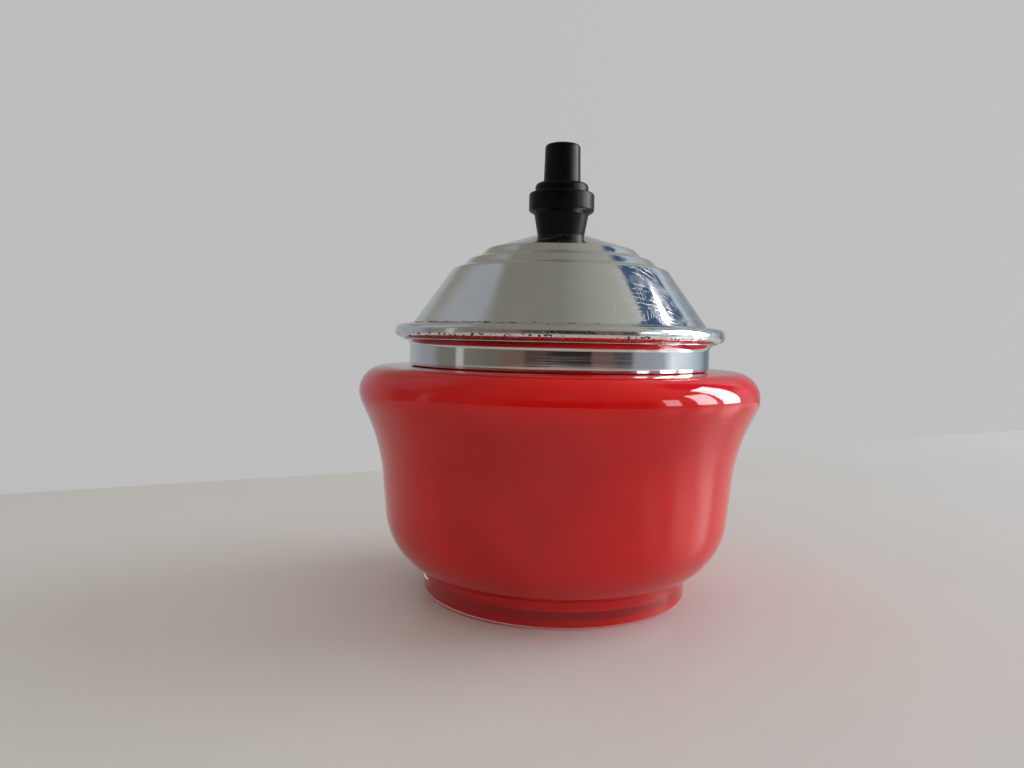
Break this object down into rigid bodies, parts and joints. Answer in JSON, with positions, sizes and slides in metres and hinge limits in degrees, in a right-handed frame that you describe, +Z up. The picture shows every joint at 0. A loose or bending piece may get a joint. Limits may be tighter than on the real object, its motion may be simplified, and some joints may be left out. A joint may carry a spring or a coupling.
{
  "type": "sanctuary lamp",
  "caption": "Free-standing sanctuary lamp: red cased-glass jar with metal collar, lift-off metal lid with black knob, and a lift-out glass candle insert.",
  "frame": {"origin": "centre of the foot's underside, on the surface the lamp stands on", "axes": "+Z up, along the axis of the bowl and lid"},
  "size_m": [0.13, 0.13, 0.1473],
  "materials": {
    "clear_glass": "clear polished glass",
    "red_glass": "opaque red glass",
    "collar_metal": "turned and polished, fine circumferential lines",
    "plaster": "matt plaster",
    "plated_metal": "polished plating with fine scratches and pits at the rim",
    "ring_metal": "plain pressed sheet",
    "black_plastic": "semi-gloss moulded black plastic",
    "brass": "turned brass",
    "steel": "zinc-plated steel",
    "fibre": "red vulcanised fibre",
    "cup_glass": "clear pressed glass",
    "cork": "agglomerated cork",
    "wax": "ivory candle wax",
    "cotton": "braided cotton",
    "tinplate": "pressed tinplate"
  },
  "bodies": {
    "bowl": {"bowl_casing": "clear_glass", "bowl_core": "red_glass", "collar": "collar_metal", "collar_cement": "plaster"},
    "light": {"candle_cup": "cup_glass", "cup_pad": "cork", "wax": "wax", "wick": "cotton", "wick_sustainer": "tinplate"},
    "lid": {"lid_shell": "plated_metal", "lid_locating_ring": "ring_metal", "knob": "black_plastic", "knob_insert": "brass", "knob_screw": "steel", "flat_washer": "steel", "spring_washer": "steel", "fibre_washer": "fibre"}
  },
  "joints": [
    {"name": "light_lift", "type": "slide", "parent": "bowl", "child": "light", "axis": [0, 0, 1], "range_m": [0, 0.11]},
    {"name": "lid_lift", "type": "slide", "parent": "light", "child": "lid", "axis": [0, 0, 1], "range_m": [0, 0.08]}
  ]
}
